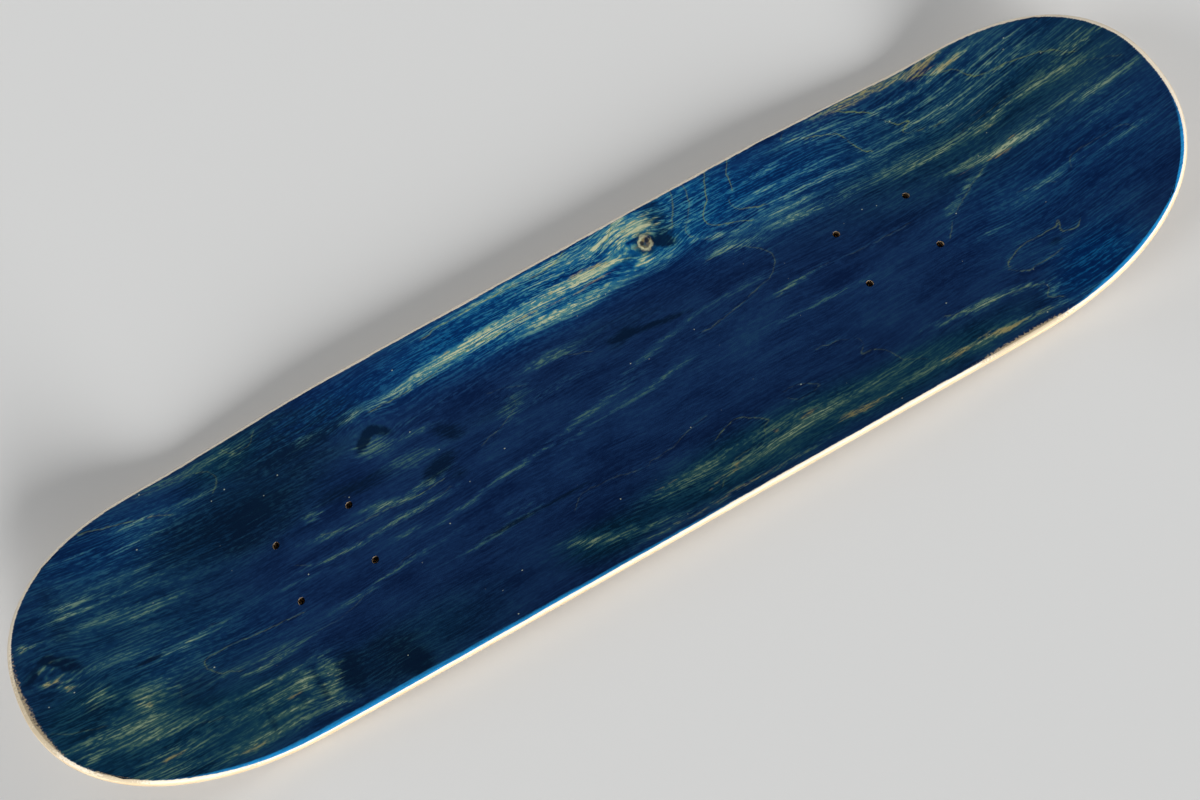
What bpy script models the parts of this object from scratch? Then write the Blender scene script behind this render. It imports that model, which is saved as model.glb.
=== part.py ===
"""A bare skateboard deck with two round ends, pressed from seven maple veneers.

Every veneer is cut and drilled as a flat blank and then pressed: the nose and tail kick up, and the
rails lift into a concave dish on both sides of the flat strip that the trucks bolt to. X runs from
tail to nose, Y across the deck and Z up. The belly rests on Z = 0 and the deck is centred on X and Y.
"""

import math

import bmesh
import bpy
from mathutils import Vector

# Bolt pattern, in metres
WHEELBASE = 0.3694  # between the two inner rows of bolts
BOLT_ROW_GAP = 0.053975  # along the deck, within one truck's pattern
BOLT_TRACK = 0.041275  # across the deck
BOLT_HOLE_RADIUS = 0.0026
BOLT_HOLE_SIDES = 10

# Outline, measured from the middle of the wheelbase
HALF_WIDTH = 0.1056
NOSE_REACH = 0.4012
TAIL_REACH = 0.4059
NOSE_TAPER = 0.0020  # how much each rail has come in where the round of the nose starts
TAIL_TAPER = 0.0028
TAPER_START = 0.120
TAPER_END = 0.300
NOSE_ROUND_START = 0.2447
TAIL_ROUND_START = 0.2515
NOSE_POWERS = (3.03, 2.25)  # superellipse powers along and across the round end
TAIL_POWERS = (2.71, 2.29)
ROUND_STEPS = 12  # straight cuts in each quarter of a round end

# Pressing
KICK_START = 0.26835
KICK_RADIUS = 0.11365
NOSE_KICK = math.radians(24)
TAIL_KICK = math.radians(22)
KICK_STEPS = 4
RAIL_LIFT = 0.00784  # height of the rails over the flat strip, in the middle of the deck
END_LIFT = 0.00139  # what is left of it in the nose and the tail
LIFT_FADE_START = 0.150
LIFT_FADE_END = KICK_START + 0.020
FLAT_HALF = 0.030  # half width of the flat strip under the trucks
DISH_POWER = 1.6

# Layers
VENEER = 0.00145
GLUE_LINE = 0.00012
EDGE_ROUNDING = 0.003  # radius sanded on the upper and the lower edge

# Where the blank is creased so that it can take its curves, besides the kicks themselves
LENGTH_LINES = (0.150, 0.172, 0.200, 0.225, 0.254)
END_LINES = (0.330, 0.360)
WIDTH_LINES = (FLAT_HALF, 0.052, 0.078)
BLANK_MARGIN = 0.004

# Name, grain and finish of each layer, from the riding side down
LAYERS = (
    ("top_face_ply", "stained_blue"),
    ("upper_long_ply", "raw_maple"),
    ("upper_cross_ply", "cross_maple"),
    ("core_ply", "raw_maple"),
    ("lower_cross_ply", "cross_maple"),
    ("lower_long_ply", "raw_maple"),
    ("bottom_face_ply", "clear_maple"),
)
FINISHES = {
    "stained_blue": ((0.012, 0.045, 0.150), 0.32),
    "raw_maple": ((0.660, 0.470, 0.270), 0.60),
    "cross_maple": ((0.560, 0.380, 0.210), 0.65),
    "clear_maple": ((0.640, 0.440, 0.240), 0.35),
}
THICKNESS = len(LAYERS) * VENEER + (len(LAYERS) - 1) * GLUE_LINE


def half_width(x):
    """Half the deck's width at a distance x from the middle of the wheelbase."""
    reach, start, taper, powers = (
        (NOSE_REACH, NOSE_ROUND_START, NOSE_TAPER, NOSE_POWERS)
        if x > 0
        else (TAIL_REACH, TAIL_ROUND_START, TAIL_TAPER, TAIL_POWERS)
    )
    along, across = powers
    tapering = min(max((abs(x) - TAPER_START) / (TAPER_END - TAPER_START), 0.0), 1.5)
    rail = HALF_WIDTH - taper * tapering**2
    rounding = min(max((abs(x) - start) / (reach - start), 0.0), 1.0)
    return rail * (1.0 - rounding**along) ** (1.0 / across)


def outline():
    """The deck's outline as points in order round it, starting at the middle of the right rail."""
    rail = [0.0, TAPER_START, 0.185]
    nose = [NOSE_ROUND_START]
    tail = [TAIL_ROUND_START]
    for step in range(1, ROUND_STEPS + 1):
        turn = math.sin(0.5 * math.pi * step / ROUND_STEPS)
        nose.append(NOSE_ROUND_START + (NOSE_REACH - NOSE_ROUND_START) * turn ** (2.0 / NOSE_POWERS[0]))
        tail.append(TAIL_ROUND_START + (TAIL_REACH - TAIL_ROUND_START) * turn ** (2.0 / TAIL_POWERS[0]))
    to_nose = rail + nose
    to_tail = [-x for x in rail[1:] + tail]
    right = [(x, -half_width(x)) for x in reversed(to_tail)] + [(x, -half_width(x)) for x in to_nose]
    left = [(x, -y) for x, y in reversed(right[1:-1])]
    return right + left


def centre_line(x):
    """Height and slope of the top face along the middle of the deck."""
    kick = NOSE_KICK if x > 0 else TAIL_KICK
    past = abs(x) - KICK_START
    bend = KICK_RADIUS * math.sin(kick)
    if past <= 0:
        return 0.0, 0.0
    if past < bend:
        angle = math.asin(past / KICK_RADIUS)
        return KICK_RADIUS * (1 - math.cos(angle)), math.copysign(angle, x)
    height = KICK_RADIUS * (1 - math.cos(kick)) + (past - bend) * math.tan(kick)
    return height, math.copysign(kick, x)


def rail_lift(x):
    """How far the rails stand over the flat strip."""
    fade = min(max((abs(x) - LIFT_FADE_START) / (LIFT_FADE_END - LIFT_FADE_START), 0.0), 1.0)
    fade = fade * fade * (3 - 2 * fade)
    return RAIL_LIFT * (1 - fade) + END_LIFT * fade


def press(x, y, depth):
    """Where a point of the flat blank goes in the mould; depth is measured down from the top face."""
    height, slope = centre_line(x)
    dish = max(abs(y) - FLAT_HALF, 0.0) / (HALF_WIDTH - FLAT_HALF)
    height += rail_lift(x) * dish**DISH_POWER
    return Vector(
        (x + depth * math.sin(slope), y, THICKNESS + height - depth * math.cos(slope))
    )


def sanded_back(depth):
    """How far the sanded edge stands in from the outline at this depth."""
    to_face = min(depth, THICKNESS - depth)
    rise = max(EDGE_ROUNDING - to_face, 0.0)
    return EDGE_ROUNDING - math.sqrt(EDGE_ROUNDING**2 - rise**2)


def draw_in(x, y, inset):
    """Brings the outline in by the inset, and leaves the strip with the bolt holes where it is."""
    along = max(abs(x) - LIFT_FADE_END, 0.0) / (NOSE_REACH - LIFT_FADE_END)
    across = max(abs(y) - FLAT_HALF, 0.0) / (HALF_WIDTH - FLAT_HALF)
    return (
        x - math.copysign(inset * min(along, 1.0), x),
        y - math.copysign(inset * min(across, 1.0), y),
    )


def crease_lines():
    """Places along and across the blank where it needs an edge to bend at."""
    along = []
    for side, kick, reach in ((-1, TAIL_KICK, TAIL_REACH), (1, NOSE_KICK, NOSE_REACH)):
        bends = [
            KICK_START + KICK_RADIUS * math.sin(kick * step / KICK_STEPS)
            for step in range(KICK_STEPS + 1)
        ]
        distances = list(LENGTH_LINES) + bends + list(END_LINES) + [reach + BLANK_MARGIN]
        along += [side * distance for distance in distances]
    across = list(WIDTH_LINES) + [HALF_WIDTH + BLANK_MARGIN]
    across += [-line for line in across]
    return sorted(along), sorted(across)


def link(obj, collection, material=None):
    """Puts an object in a collection, with its material."""
    collection.objects.link(obj)
    if material:
        obj.data.materials.append(material)
    return obj


def creased_sheet():
    """A flat sheet with edges at the crease lines, trimmed to the outline by one cut for each side."""
    along, across = crease_lines()
    bm = bmesh.new()
    bmesh.ops.create_grid(bm, x_segments=len(along) - 1, y_segments=len(across) - 1, size=1)
    for vert in bm.verts:
        column = round((vert.co.x + 1) / 2 * (len(along) - 1))
        row = round((vert.co.y + 1) / 2 * (len(across) - 1))
        vert.co = (along[column], across[row], 0)
    points = [Vector((x, y, 0)) for x, y in outline()]
    for start, end in zip(points, points[1:] + points[:1]):
        cut = end - start
        bmesh.ops.bisect_plane(
            bm,
            geom=bm.verts[:] + bm.edges[:] + bm.faces[:],
            dist=1e-6,
            plane_co=start,
            plane_no=(cut.y, -cut.x, 0),
            clear_outer=True,
        )
    mesh = bpy.data.meshes.new("sheet")
    bm.to_mesh(mesh)
    bm.free()
    return mesh


def bolt_positions():
    """The eight bolt holes, four for each truck."""
    for side in (-1, 1):
        for row in (WHEELBASE / 2, WHEELBASE / 2 + BOLT_ROW_GAP):
            for track in (-BOLT_TRACK / 2, BOLT_TRACK / 2):
                yield side * row, track


def bolt_drills():
    """One cutter with a drill for each bolt hole."""
    bm = bmesh.new()
    for x, y in bolt_positions():
        made = bmesh.ops.create_cone(
            bm,
            cap_ends=True,
            segments=BOLT_HOLE_SIDES,
            radius1=BOLT_HOLE_RADIUS,
            radius2=BOLT_HOLE_RADIUS,
            depth=4 * VENEER,
        )
        bmesh.ops.translate(bm, verts=made["verts"], vec=(x, y, 0))
    mesh = bpy.data.meshes.new("bolt_drills")
    bm.to_mesh(mesh)
    bm.free()
    return bpy.data.objects.new("bolt_drills", mesh)


def flat_blank(cutters):
    """The cut and drilled veneer before pressing, one veneer thick downwards from Z = 0."""
    drills = link(bolt_drills(), cutters)
    blank = link(bpy.data.objects.new("flat_blank", creased_sheet()), cutters)
    for helper in (drills, blank):
        helper.hide_render = True
        helper.display_type = "WIRE"
    solidify = blank.modifiers.new("veneer", "SOLIDIFY")
    solidify.thickness = VENEER
    solidify.offset = -1
    drill = blank.modifiers.new("bolt_holes", "BOOLEAN")
    drill.operation = "DIFFERENCE"
    drill.object = drills
    blank.modifiers.new("facets", "TRIANGULATE")
    return blank


def pressed_ply(blank, number, top):
    """A copy of the blank, sanded back to its place in the rounded edge and pressed."""
    inset = sanded_back(top + VENEER / 2)
    mesh = bpy.data.meshes.new_from_object(blank)
    for vert in mesh.vertices:
        x, y = draw_in(vert.co.x, vert.co.y, inset)
        vert.co = press(x, y, top - vert.co.z)
    name, _ = LAYERS[number]
    mesh.name = name
    return bpy.data.objects.new(name, mesh)


def finish_material(name):
    """A plain wood finish with the layer's colour."""
    colour, roughness = FINISHES[name]
    material = bpy.data.materials.new(name)
    material.use_nodes = True
    shader = material.node_tree.nodes["Principled BSDF"]
    shader.inputs["Base Color"].default_value = (*colour, 1)
    shader.inputs["Roughness"].default_value = roughness
    shader.inputs["Metallic"].default_value = 0
    return material


def centre_on_length(plies):
    """Slides all the layers along X until the deck's two ends are equally far from the origin."""
    reach = [vert.co.x for ply in plies for vert in ply.data.vertices]
    middle = (min(reach) + max(reach)) / 2
    for ply in plies:
        for vert in ply.data.vertices:
            vert.co.x -= middle


def main():
    for obj in list(bpy.data.objects):
        bpy.data.objects.remove(obj)
    deck = bpy.data.collections.new("skateboard_deck")
    cutters = bpy.data.collections.new("cutters")
    bpy.context.scene.collection.children.link(deck)
    bpy.context.scene.collection.children.link(cutters)
    materials = {name: finish_material(name) for name in FINISHES}
    blank = flat_blank(cutters)
    bpy.context.view_layer.update()
    cut_blank = blank.evaluated_get(bpy.context.evaluated_depsgraph_get())
    plies = []
    for number, (_, finish) in enumerate(LAYERS):
        ply = pressed_ply(cut_blank, number, number * (VENEER + GLUE_LINE))
        plies.append(link(ply, deck, materials[finish]))
    centre_on_length(plies)


main()
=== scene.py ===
"""A blue-stained maple skateboard deck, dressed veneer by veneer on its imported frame.

Every veneer of the frame is replaced by a finely meshed one: cut flat, drilled, sanded round at the
edge and pressed into the same mould. Lengths are in metres. X runs from tail to nose, Y across the
deck and Z up, and plan coordinates are measured from the middle of the wheelbase.
"""

import logging
import math
from collections.abc import Iterable, Iterator, Sequence
from dataclasses import dataclass, field
from enum import Enum

import bmesh
import bpy
import numpy as np
from mathutils import Matrix, Vector


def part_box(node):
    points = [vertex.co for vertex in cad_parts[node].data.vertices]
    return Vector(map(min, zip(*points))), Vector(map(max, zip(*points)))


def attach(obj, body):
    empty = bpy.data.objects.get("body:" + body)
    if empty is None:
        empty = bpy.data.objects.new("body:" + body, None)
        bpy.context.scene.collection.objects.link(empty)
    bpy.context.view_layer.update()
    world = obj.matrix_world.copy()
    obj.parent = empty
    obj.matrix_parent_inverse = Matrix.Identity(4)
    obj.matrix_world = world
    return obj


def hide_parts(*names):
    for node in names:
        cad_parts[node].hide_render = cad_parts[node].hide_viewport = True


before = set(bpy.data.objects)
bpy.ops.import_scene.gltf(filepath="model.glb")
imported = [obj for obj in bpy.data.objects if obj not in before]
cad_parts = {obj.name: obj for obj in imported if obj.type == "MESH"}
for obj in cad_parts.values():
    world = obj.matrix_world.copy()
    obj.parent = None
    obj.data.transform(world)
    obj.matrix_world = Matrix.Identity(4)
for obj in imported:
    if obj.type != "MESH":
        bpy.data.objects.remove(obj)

log = logging.getLogger("deck")

MM = 0.001
BODY = "root"
HALVINGS = 40  # of the range that a point of the rounded outline is looked for in
WELD = 0.001 * MM

Colour = tuple[float, float, float]
Stops = tuple[tuple[float, Colour], ...]
Socket = bpy.types.NodeSocket


# Shader expressions


class Level:
    """A number that varies over a surface; arithmetic on it adds Math nodes to its graph."""

    def __init__(self, graph: "Graph", socket: Socket) -> None:
        """Keeps the graph that the number belongs to and the socket that carries it."""
        self.graph = graph
        self.socket = socket

    def _math(self, operation: str, first: object, second: object) -> "Level":
        """Adds one Math node and returns what it gives."""
        node = self.graph.node("ShaderNodeMath", {"operation": operation}, {0: first, 1: second})
        return Level(self.graph, node.outputs[0])

    def __add__(self, other: object) -> "Level":
        """self + other."""
        return self._math("ADD", self, other)

    def __radd__(self, other: object) -> "Level":
        """other + self."""
        return self._math("ADD", other, self)

    def __sub__(self, other: object) -> "Level":
        """self - other."""
        return self._math("SUBTRACT", self, other)

    def __rsub__(self, other: object) -> "Level":
        """other - self."""
        return self._math("SUBTRACT", other, self)

    def __mul__(self, other: object) -> "Level":
        """self * other."""
        return self._math("MULTIPLY", self, other)

    def __rmul__(self, other: object) -> "Level":
        """other * self."""
        return self._math("MULTIPLY", other, self)

    def lowest(self, other: object) -> "Level":
        """The lower of the two."""
        return self._math("MINIMUM", self, other)

    def size(self) -> "Level":
        """The number without its sign."""
        return self._math("ABSOLUTE", self, 0.0)

    def part(self) -> "Level":
        """The number's fractional part."""
        return self._math("FRACT", self, 0.0)

    def rise(self, low: float, high: float) -> "Level":
        """A smooth rise from 0 at low to 1 at high, flat outside them."""
        node = self.graph.node(
            "ShaderNodeMapRange",
            {"interpolation_type": "SMOOTHSTEP"},
            {"Value": self, "From Min": low, "From Max": high},
        )
        return Level(self.graph, node.outputs["Result"])


class Graph:
    """The node tree of one finish."""

    BUMP_STRENGTH = 0.6

    def __init__(self, owner: bpy.types.Material | bpy.types.World) -> None:
        """Starts with an empty tree.

        Args:
            owner: the material, or the studio's surroundings, that the tree belongs to.
        """
        owner.use_nodes = True
        self.owner = owner
        self.tree = owner.node_tree
        self.tree.nodes.clear()

    @classmethod
    def of_material(cls, name: str) -> "Graph":
        """The graph of a new material."""
        return cls(bpy.data.materials.new(name))

    def node(
        self,
        kind: str,
        settings: dict[str, object] | None = None,
        sockets: dict[str | int, object] | None = None,
    ) -> bpy.types.Node:
        """Adds a node.

        Args:
            kind: the node's type.
            settings: its properties, or "stops" for a ramp's (position, colour) pairs, set first.
            sockets: a value, a Level or a socket for each input, by name or number.

        Returns:
            The new node.
        """
        made = self.tree.nodes.new(kind)
        for name, value in (settings or {}).items():
            if name == "stops":
                self._set_stops(made.color_ramp, value)
            else:
                setattr(made, name, value)
        for name, value in (sockets or {}).items():
            source = value.socket if isinstance(value, Level) else value
            if isinstance(source, Socket):
                self.tree.links.new(source, made.inputs[name])
            else:
                made.inputs[name].default_value = source
        return made

    @staticmethod
    def _set_stops(ramp: bpy.types.ColorRamp, stops: Stops) -> None:
        """Gives a colour ramp its stops.

        Args:
            ramp: the ramp of a new node.
            stops: each stop's position, from 0 to 1, and its colour.
        """
        while len(ramp.elements) < len(stops):
            ramp.elements.new(1.0)
        for element, (position, colour) in zip(ramp.elements, stops):
            element.position = position
            element.color = (*colour, 1.0)

    def place(self) -> Socket:
        """The point on the object, in metres."""
        return self.node("ShaderNodeTexCoord").outputs["Object"]

    def painted(self, name: str) -> Level:
        """A number painted on the mesh."""
        node = self.node("ShaderNodeAttribute", {"attribute_name": name})
        return Level(self, node.outputs["Fac"])

    def axis(self, vector: Socket, name: str) -> Level:
        """One coordinate of a vector."""
        node = self.node("ShaderNodeSeparateXYZ", None, {0: vector})
        return Level(self, node.outputs[name])

    def stretched(self, vector: Socket, scale: tuple, shift: tuple = (0.0, 0.0, 0.0)) -> Socket:
        """A vector scaled along each axis and moved."""
        return self.node(
            "ShaderNodeMapping", None, {"Vector": vector, "Scale": scale, "Location": shift}
        ).outputs[0]

    def bent(self, vector: Socket, push: Level, direction: tuple) -> Socket:
        """A vector pushed along a direction by a number that varies."""
        offset = self.node(
            "ShaderNodeVectorMath", {"operation": "SCALE"}, {0: direction, "Scale": push}
        )
        return self.node(
            "ShaderNodeVectorMath", {"operation": "ADD"}, {0: vector, 1: offset.outputs[0]}
        ).outputs[0]

    def away(self, vector: Socket, centre: tuple, scale: tuple) -> Level:
        """How far a point is from a centre.

        Args:
            vector: the point.
            centre: where the distance is 0.
            scale: how much each axis counts.

        Returns:
            The distance, in metres times the scale.
        """
        offset = self.node(
            "ShaderNodeVectorMath", {"operation": "SUBTRACT"}, {0: vector, 1: centre}
        )
        scaled = self.node(
            "ShaderNodeVectorMath", {"operation": "MULTIPLY"}, {0: offset.outputs[0], 1: scale}
        )
        length = self.node(
            "ShaderNodeVectorMath", {"operation": "LENGTH"}, {0: scaled.outputs[0]}
        )
        return Level(self, length.outputs["Value"])

    def noise(
        self,
        vector: Socket,
        scale: tuple,
        detail: float = 2.0,
        roughness: float = 0.5,
        shift: tuple = (0.0, 0.0, 0.0),
    ) -> Level:
        """Noise around 0.5.

        Args:
            vector: the point that it is read at.
            scale: how many features it has per metre along each axis.
            detail: how many finer layers it has.
            roughness: how strong the finer layers are.
            shift: moves it, so that two noises differ.

        Returns:
            The noise.
        """
        node = self.node(
            "ShaderNodeTexNoise",
            None,
            {
                "Vector": self.stretched(vector, scale, shift),
                "Scale": 1.0,
                "Detail": detail,
                "Roughness": roughness,
            },
        )
        return Level(self, node.outputs["Fac"])

    def swing(
        self,
        vector: Socket,
        scale: tuple,
        detail: float = 2.0,
        roughness: float = 0.5,
        shift: tuple = (0.0, 0.0, 0.0),
    ) -> Level:
        """The same noise, but around 0."""
        return self.noise(vector, scale, detail, roughness, shift) - 0.5

    def blend(self, share: object, under: object, over: object) -> Socket:
        """One colour over another, by a share from 0 to 1."""
        node = self.node(
            "ShaderNodeMix",
            {"data_type": "RGBA"},
            {0: share, 6: _colour(under), 7: _colour(over)},
        )
        return node.outputs[2]

    def ramp(self, level: Level, stops: Stops) -> Socket:
        """The colour that a ramp gives a number."""
        return self.node("ShaderNodeValToRGB", {"stops": stops}, {0: level}).outputs[0]

    def finish(self, sockets: dict[str, object]) -> bpy.types.Material:
        """Closes the tree with one Principled shader.

        Args:
            sockets: the shader's values and links.

        Returns:
            The material.
        """
        shader = self.node("ShaderNodeBsdfPrincipled", None, sockets)
        self.node("ShaderNodeOutputMaterial", None, {"Surface": shader.outputs[0]})
        return self.owner

    def bump(self, height: Level, distance: float) -> Socket:
        """A surface normal disturbed by a height; distance is the height of 1, in metres."""
        return self.node(
            "ShaderNodeBump",
            None,
            {"Height": height, "Distance": distance, "Strength": self.BUMP_STRENGTH},
        ).outputs[0]


def _colour(value: object) -> object:
    """A colour with its alpha, if the value is a colour and not a socket."""
    return (*value, 1.0) if isinstance(value, tuple) else value


# The deck's shape


@dataclass(frozen=True)
class RoundEnd:
    """The nose or the tail: where its round begins, how it is cut and how far it kicks up."""

    side: int
    reach: float
    round_start: float
    taper: float
    along: float
    across: float
    kick: float


@dataclass(frozen=True)
class DeckShape:
    """The mould and the outline that every veneer is pressed in and cut to."""

    nose: RoundEnd = RoundEnd(1, 0.4012, 0.2447, 0.0020, 3.03, 2.25, math.radians(24))
    tail: RoundEnd = RoundEnd(-1, 0.4059, 0.2515, 0.0028, 2.71, 2.29, math.radians(22))
    half_width: float = 0.1056
    taper_start: float = 0.120
    taper_end: float = 0.300
    taper_limit: float = 1.5
    wheelbase: float = 0.3694
    bolt_row_gap: float = 0.053975
    bolt_track: float = 0.041275
    bolt_hole_radius: float = 0.0026
    kick_start: float = 0.26835
    kick_radius: float = 0.11365
    rail_lift: float = 0.00784
    end_lift: float = 0.00139
    lift_fade: tuple[float, float] = (0.150, 0.28835)
    flat_half: float = 0.030
    dish_power: float = 1.6
    veneer: float = 0.00145
    glue_line: float = 0.00012
    layers: int = 7
    edge_rounding: float = 0.003

    @property
    def thickness(self) -> float:
        """The whole deck's thickness."""
        return self.layers * self.veneer + (self.layers - 1) * self.glue_line

    def rail(self, x: np.ndarray) -> np.ndarray:
        """Half the width between the rails, before the ends are rounded.

        Args:
            x: distances from the middle of the wheelbase, towards the nose.

        Returns:
            The half width at each of them.
        """
        span = self.taper_end - self.taper_start
        tapering = np.clip((np.abs(x) - self.taper_start) / span, 0.0, self.taper_limit)
        return self.half_width - np.where(x > 0, self.nose.taper, self.tail.taper) * tapering**2

    def centre_line(self, x: np.ndarray) -> tuple[np.ndarray, np.ndarray]:
        """The top face along the middle of the deck.

        Args:
            x: distances from the middle of the wheelbase, towards the nose.

        Returns:
            The height over the flat part and the slope in radians, at each of them.
        """
        kick = np.where(x > 0, self.nose.kick, self.tail.kick)
        past = np.maximum(np.abs(x) - self.kick_start, 0.0)
        bend = self.kick_radius * np.sin(kick)
        angle = np.arcsin(np.minimum(past, bend) / self.kick_radius)
        height = self.kick_radius * (1 - np.cos(angle)) + np.maximum(past - bend, 0) * np.tan(kick)
        return height, np.copysign(angle, x)

    def press(self, x: np.ndarray, y: np.ndarray, depth: np.ndarray) -> np.ndarray:
        """Where points of a flat blank go in the mould.

        Args:
            x: distances from the middle of the wheelbase, towards the nose.
            y: distances from the centre line, towards the left rail.
            depth: distances below the deck's top face.

        Returns:
            One row of X, Y and Z for each point, with the belly at Z = 0.
        """
        height, slope = self.centre_line(x)
        start, end = self.lift_fade
        fade = np.clip((np.abs(x) - start) / (end - start), 0.0, 1.0)
        fade = fade * fade * (3 - 2 * fade)
        lift = self.rail_lift * (1 - fade) + self.end_lift * fade
        dish = np.maximum(np.abs(y) - self.flat_half, 0.0) / (self.half_width - self.flat_half)
        height = height + lift * dish**self.dish_power
        return np.stack(
            [
                x + depth * np.sin(slope),
                y + 0 * depth,
                self.thickness + height - depth * np.cos(slope),
            ],
            axis=1,
        )

    def sanded_back(self, depth: np.ndarray) -> np.ndarray:
        """How far the rounded edge stands in from the outline.

        Args:
            depth: distances below the deck's top face.

        Returns:
            The inset at each of them.
        """
        to_face = np.minimum(depth, self.thickness - depth)
        rise = np.clip(self.edge_rounding - to_face, 0.0, self.edge_rounding)
        return self.edge_rounding - np.sqrt(self.edge_rounding**2 - rise**2)

    def bolts(self) -> Iterator[tuple[float, float]]:
        """Goes from one truck-bolt hole to the next.

        Yields:
            The plan position of each of the eight holes.
        """
        for side in (-1, 1):
            for row in (self.wheelbase / 2, self.wheelbase / 2 + self.bolt_row_gap):
                for track in (-self.bolt_track / 2, self.bolt_track / 2):
                    yield side * row, track

    def slide(self) -> float:
        """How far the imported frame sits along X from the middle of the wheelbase.

        Returns:
            The distance, found at the nose tip of the second veneer from the bottom.
        """
        above = self.layers - 2
        depth = above * (self.veneer + self.glue_line) + self.veneer
        inset = float(self.sanded_back(np.array([depth - self.veneer / 2]))[0])
        tip = self.nose.reach - inset + depth * math.sin(self.nose.kick)
        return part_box("lower_long_ply")[1].x - tip


@dataclass
class Blank:
    """A flat veneer blank: a sheet of nearly square cells that run out to the deck's outline."""

    shape: DeckShape
    pitch: float
    hole_sides: int = 28
    hole_margin: float = 0.0008
    rim_cells: int = 7
    columns: list[tuple[float, float]] = field(default_factory=list)
    rows: np.ndarray = field(default_factory=lambda: np.zeros(0))

    def _spaced(self, keys: Sequence[float]) -> np.ndarray:
        """Points about one pitch apart that pass through every key."""
        runs = [
            np.linspace(a, b, max(1, round((b - a) / self.pitch)), endpoint=False)
            for a, b in zip(keys, keys[1:])
        ]
        return np.append(np.concatenate(runs), keys[-1])

    def _lay_out(self) -> None:
        """Chooses the columns along the deck and the rows across it."""
        shape = self.shape
        inner = shape.wheelbase / 2
        outer = inner + shape.bolt_row_gap
        keys = [-shape.tail.round_start, -outer, -inner, inner, outer, shape.nose.round_start]
        turns = {}
        for end in (shape.tail, shape.nose):
            count = round((end.reach - end.round_start) / self.pitch)
            turns[end.side] = np.linspace(0.0, 1.0, count + 1)[1:]
        self.columns = [(-shape.tail.round_start, u) for u in turns[-1][::-1]]
        self.columns += [(x, 0.0) for x in self._spaced(keys)]
        self.columns += [(shape.nose.round_start, u) for u in turns[1]]
        track = shape.bolt_track / 2
        half = self._spaced([0.0, track, shape.flat_half, shape.half_width])
        self.rows = np.concatenate([-half[:0:-1], half])

    def _spread(self, rail: float) -> np.ndarray:
        """Spreads the rows across the deck.

        Args:
            rail: the half width there.

        Returns:
            The rows' distances from the centre line. The flat middle keeps its width.
        """
        shape = self.shape
        beyond = np.maximum(np.abs(self.rows) - shape.flat_half, 0.0)
        stretch = (rail - shape.flat_half) / (shape.half_width - shape.flat_half)
        inside = np.minimum(np.abs(self.rows), shape.flat_half)
        return np.sign(self.rows) * (inside + beyond * stretch)

    def _rounded(self, end: RoundEnd, turn: float) -> tuple[np.ndarray, np.ndarray]:
        """Lays one column of an end, where half a square of cells is drawn out to the half round.

        Args:
            end: the nose or the tail.
            turn: how far out the column is, from 0 where the round begins to 1 at its tip.

        Returns:
            The X and the Y of each row.
        """
        rail = float(self.shape.rail(np.array([end.side * end.round_start]))[0])
        share = self._spread(rail) / rail
        u = turn * np.sqrt(1 - share**2 / 2)
        v = share * math.sqrt(1 - turn**2 / 2)
        radius = np.maximum(np.hypot(u, v), 1e-9)
        low, high = np.full_like(u, 0.5), np.full_like(u, 1.6)
        for _ in range(HALVINGS):
            middle = (low + high) / 2
            over = (middle * u / radius) ** end.along + (middle * np.abs(v) / radius) ** end.across
            low, high = np.where(over < 1, middle, low), np.where(over < 1, high, middle)
        grow = 1 + (low - 1) * radius**2
        x = end.side * (end.round_start + (end.reach - end.round_start) * u * grow)
        return x, v * grow * self.shape.rail(x)

    def _plan(self) -> np.ndarray:
        """Lays every column out in plan.

        Returns:
            X and Y, as an array of columns by rows by 2.
        """
        plan = np.zeros((len(self.columns), len(self.rows), 2))
        for number, (x, turn) in enumerate(self.columns):
            if turn:
                end = self.shape.nose if x > 0 else self.shape.tail
                plan[number, :, 0], plan[number, :, 1] = self._rounded(end, turn)
            else:
                plan[number, :, 0] = x
                plan[number, :, 1] = self._spread(float(self.shape.rail(np.array([x]))[0]))
        return plan

    def _pulls(self, plan: np.ndarray) -> np.ndarray:
        """Finds which way, and how much, each point moves when the edge is sanded back.

        Args:
            plan: the points' plan positions, by column and row.

        Returns:
            The moves for an inset of 1, with the same columns and rows.
        """
        wide, high = plan.shape[:2]
        rim = [(i, 0) for i in range(wide)] + [(wide - 1, j) for j in range(1, high)]
        rim += [(i, high - 1) for i in range(wide - 2, -1, -1)]
        rim += [(0, j) for j in range(high - 2, 0, -1)]
        points = np.array([plan[place] for place in rim])
        along = np.roll(points, -1, axis=0) - np.roll(points, 1, axis=0)
        along /= np.linalg.norm(along, axis=1)[:, None]
        outward = dict(zip(rim, np.stack([along[:, 1], -along[:, 0]], axis=1)))
        pulls = np.zeros((wide, high, 3))
        for i in range(wide):
            for j in range(high):
                near = min((j, (i, 0)), (high - 1 - j, (i, high - 1)), (i, (0, j)),
                           (wide - 1 - i, (wide - 1, j)))
                if near[0] < self.rim_cells:
                    share = 1 - near[0] / self.rim_cells
                    pulls[i, j, :2] = outward[near[1]] * share
        return pulls

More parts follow.
